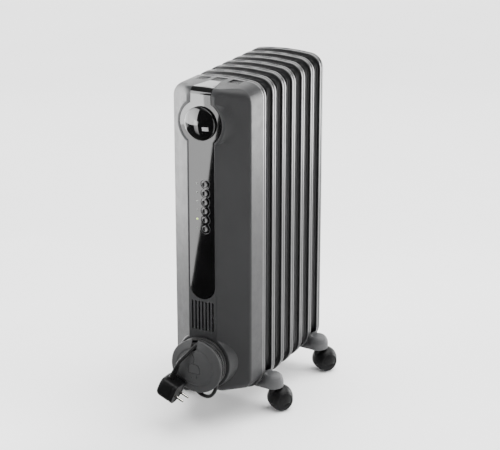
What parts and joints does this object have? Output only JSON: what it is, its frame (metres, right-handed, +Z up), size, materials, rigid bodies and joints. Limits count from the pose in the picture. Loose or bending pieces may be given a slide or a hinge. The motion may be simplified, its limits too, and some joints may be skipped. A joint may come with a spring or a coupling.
{
  "type": "oil filled radiator heater",
  "caption": "Free-standing oil filled column radiator with a moulded control cover, round thermostat knob, push buttons, a front cord winder and swivelling ball castors.",
  "frame": {"origin": "on the floor, under the middle of the heater's footprint (its mains cord and plug left out)", "axes": "+Z up, the control cover faces -Y, +X to the right seen from the front"},
  "size_m": [0.2412, 0.4224, 0.6425],
  "materials": {
    "fins": "satin",
    "tubes": "satin",
    "tube_plugs": "zinc plated",
    "element": "drawn",
    "cover": "fine texture, satin",
    "fascia": "high gloss",
    "knob": "high gloss",
    "buttons": "gloss",
    "back_plate": "galvanised",
    "inner_plastic": "moulded",
    "board": "solder mask",
    "light_guide": "clear",
    "winder": "fine texture",
    "feet": "fine texture",
    "castors": "moulded",
    "wheels": "moulded",
    "cord": "matt",
    "plug": "moulded",
    "pins": "nickel plated",
    "hardware": "zinc plated"
  },
  "bodies": {
    "heater": {"fin_1": "fins", "fin_2": "fins", "fin_3": "fins", "fin_4": "fins", "fin_5": "fins", "fin_6": "fins", "fin_7": "fins", "upper_manifold": "tubes", "lower_manifold": "tubes", "upper_front_plug": "tube_plugs", "oil_filler_plug": "tube_plugs", "lower_rear_plug": "tube_plugs", "element_flange": "tube_plugs", "heating_element": "element", "front_cover": "cover", "fascia_panel": "fascia", "control_back_plate": "back_plate", "thermostat_body": "inner_plastic", "control_board": "board", "light_guide": "light_guide", "terminal_block": "inner_plastic", "tip_over_switch": "castors", "thermal_cutout": "inner_plastic", "cord_hub": "winder", "cord_gland": "cord", "cord_coil": "cord", "cord_tail": "cord", "cord_disc": "winder", "plug_body": "plug", "plug_pin_1": "pins", "plug_pin_2": "pins", "front_foot_bracket": "feet", "rear_foot_bracket": "feet", "front_u_bolt": "hardware", "rear_u_bolt": "hardware", "front_wing_nut_left": "hardware", "front_wing_nut_right": "hardware", "rear_wing_nut_left": "hardware", "rear_wing_nut_right": "hardware"},
    "knob": {"thermostat_knob": "knob"},
    "push_1": {"button_1": "buttons"},
    "push_2": {"button_2": "buttons"},
    "push_3": {"button_3": "buttons"},
    "push_4": {"button_4": "buttons"},
    "push_5": {"button_5": "buttons"},
    "push_6": {"button_6": "buttons"},
    "swivel_front_left": {"castor_front_left_hood": "castors"},
    "wheels_front_left": {"castor_front_left_wheel_a": "wheels", "castor_front_left_wheel_b": "wheels"},
    "swivel_front_right": {"castor_front_right_hood": "castors"},
    "wheels_front_right": {"castor_front_right_wheel_a": "wheels", "castor_front_right_wheel_b": "wheels"},
    "swivel_rear_left": {"castor_rear_left_hood": "castors"},
    "wheels_rear_left": {"castor_rear_left_wheel_a": "wheels", "castor_rear_left_wheel_b": "wheels"},
    "swivel_rear_right": {"castor_rear_right_hood": "castors"},
    "wheels_rear_right": {"castor_rear_right_wheel_a": "wheels", "castor_rear_right_wheel_b": "wheels"}
  },
  "joints": [
    {"name": "knob_turn", "type": "hinge", "parent": "heater", "child": "knob", "pos_m": [0, -0.16224, 0.579], "axis": [0, -1, 0], "range_deg": [-135, 135]},
    {"name": "push_1_press", "type": "slide", "parent": "heater", "child": "push_1", "axis": [0, 1, 0], "range_m": [0, 0.0015], "stiffness_N_per_m": 900},
    {"name": "push_2_press", "type": "slide", "parent": "heater", "child": "push_2", "axis": [0, 1, 0], "range_m": [0, 0.0015], "stiffness_N_per_m": 900},
    {"name": "push_3_press", "type": "slide", "parent": "heater", "child": "push_3", "axis": [0, 1, 0], "range_m": [0, 0.0015], "stiffness_N_per_m": 900},
    {"name": "push_4_press", "type": "slide", "parent": "heater", "child": "push_4", "axis": [0, 1, 0], "range_m": [0, 0.0015], "stiffness_N_per_m": 900},
    {"name": "push_5_press", "type": "slide", "parent": "heater", "child": "push_5", "axis": [0, 1, 0], "range_m": [0, 0.0015], "stiffness_N_per_m": 900},
    {"name": "push_6_press", "type": "slide", "parent": "heater", "child": "push_6", "axis": [0, 1, 0], "range_m": [0, 0.0015], "stiffness_N_per_m": 900},
    {"name": "swivel_front_left", "type": "hinge", "parent": "heater", "child": "swivel_front_left", "pos_m": [-0.087, -0.04474, 0.05], "axis": [0, 0, 1], "continuous": true},
    {"name": "roll_front_left", "type": "hinge", "parent": "swivel_front_left", "child": "wheels_front_left", "pos_m": [-0.096, -0.03274, 0.02114], "axis": [-0.8, -0.6, 0], "continuous": true},
    {"name": "swivel_front_right", "type": "hinge", "parent": "heater", "child": "swivel_front_right", "pos_m": [0.087, -0.04474, 0.05], "axis": [0, 0, 1], "continuous": true},
    {"name": "roll_front_right", "type": "hinge", "parent": "swivel_front_right", "child": "wheels_front_right", "pos_m": [0.096, -0.03274, 0.02114], "axis": [-0.8, 0.6, 0], "continuous": true},
    {"name": "swivel_rear_left", "type": "hinge", "parent": "heater", "child": "swivel_rear_left", "pos_m": [-0.087, 0.15826, 0.05], "axis": [0, 0, 1], "continuous": true},
    {"name": "roll_rear_left", "type": "hinge", "parent": "swivel_rear_left", "child": "wheels_rear_left", "pos_m": [-0.096, 0.17026, 0.02114], "axis": [-0.8, -0.6, 0], "continuous": true},
    {"name": "swivel_rear_right", "type": "hinge", "parent": "heater", "child": "swivel_rear_right", "pos_m": [0.087, 0.15826, 0.05], "axis": [0, 0, 1], "continuous": true},
    {"name": "roll_rear_right", "type": "hinge", "parent": "swivel_rear_right", "child": "wheels_rear_right", "pos_m": [0.096, 0.17026, 0.02114], "axis": [-0.8, 0.6, 0], "continuous": true}
  ]
}
